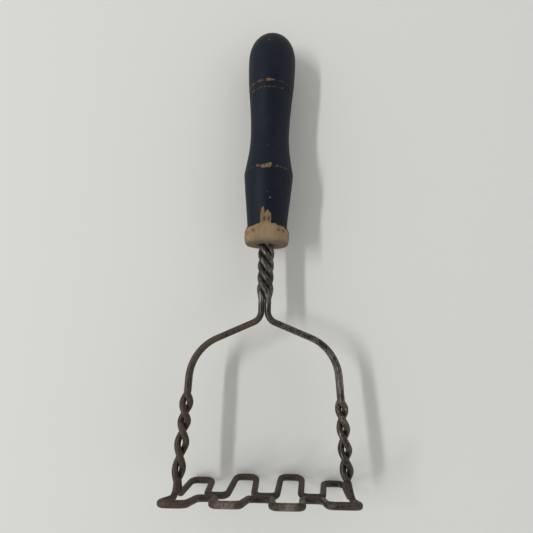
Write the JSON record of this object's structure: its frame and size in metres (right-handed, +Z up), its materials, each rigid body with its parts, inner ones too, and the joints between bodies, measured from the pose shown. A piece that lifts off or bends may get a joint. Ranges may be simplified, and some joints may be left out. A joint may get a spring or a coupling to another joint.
{
  "type": "potato masher",
  "caption": "Hand potato masher: twisted wires fork into arms that end in a flat zigzag mashing face, under a turned wooden handle.",
  "frame": {"origin": "centre of the bounding box, on the surface that the masher lies on", "axes": "+Y along the masher towards the tip of the handle, +Z up from the surface, towards the front loops; the masher lies on its back loops and on the upper swell of the handle"},
  "size_m": [0.095, 0.2583, 0.0506],
  "materials": {
    "painted_wood": "dark blue-black gloss paint, worn through to bare wood at the scored rings and the collar",
    "wire_steel": "aged drawn steel wire with a dark patina and light rust"
  },
  "bodies": {
    "root": {"handle": "painted_wood", "front_wire": "wire_steel", "back_wire": "wire_steel"}
  },
  "joints": []
}
